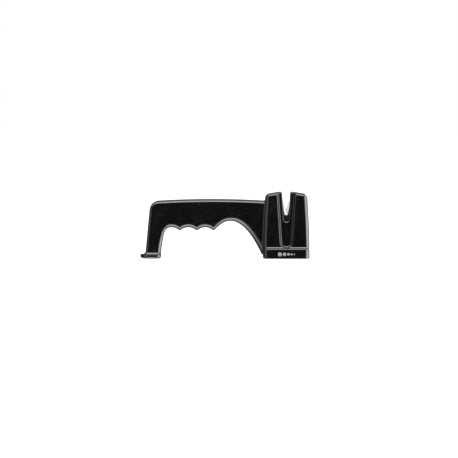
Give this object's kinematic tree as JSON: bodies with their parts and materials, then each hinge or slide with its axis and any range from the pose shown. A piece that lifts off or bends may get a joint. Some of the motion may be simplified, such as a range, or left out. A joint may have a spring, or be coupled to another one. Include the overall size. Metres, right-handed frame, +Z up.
{
  "type": "hand-held edge tuning tool",
  "caption": "Pull-through edge tuner: moulded grip with finger grooves, rear foot, and a tapered head whose slot holds crossed ceramic rods above a screwed base.",
  "frame": {"origin": "on the resting surface, under the middle of the tool's bounding box", "axes": "+X from the rear foot to the head, -Y towards the front, where the screws are hidden, +Z up"},
  "size_m": [0.1694, 0.035, 0.0663],
  "materials": {
    "shell_plastic": "polished",
    "base_plastic": "polished",
    "carrier_plastic": "fine matt",
    "pad_rubber": "matt",
    "rod_ceramic": "fine ground",
    "screw_steel": "zinc plated"
  },
  "bodies": {
    "tool_body": {"front_shell": "shell_plastic", "back_shell": "shell_plastic", "base_plate": "base_plastic", "base_pad": "pad_rubber", "rear_foot": "base_plastic", "foot_pad": "pad_rubber", "carrier_front": "carrier_plastic", "carrier_back": "carrier_plastic", "handle_screw_1": "screw_steel", "handle_screw_2": "screw_steel", "handle_screw_3": "screw_steel", "head_screw_1": "screw_steel", "head_screw_2": "screw_steel", "base_screw_1": "screw_steel", "base_screw_2": "screw_steel", "base_screw_3": "screw_steel", "base_screw_4": "screw_steel", "carrier_screw_1": "screw_steel", "carrier_screw_2": "screw_steel", "leg_screw": "screw_steel"},
    "left_rod": {"left_ceramic_rod": "rod_ceramic"},
    "right_rod": {"right_ceramic_rod": "rod_ceramic"}
  },
  "joints": [
    {"name": "left_rod_turn", "type": "hinge", "parent": "tool_body", "child": "left_rod", "pos_m": [0.0615, -0.00275, 0.0423], "axis": [-0.3746, 0, 0.9272], "continuous": true},
    {"name": "right_rod_turn", "type": "hinge", "parent": "tool_body", "child": "right_rod", "pos_m": [0.0615, 0.00275, 0.0423], "axis": [0.3746, 0, 0.9272], "continuous": true}
  ]
}
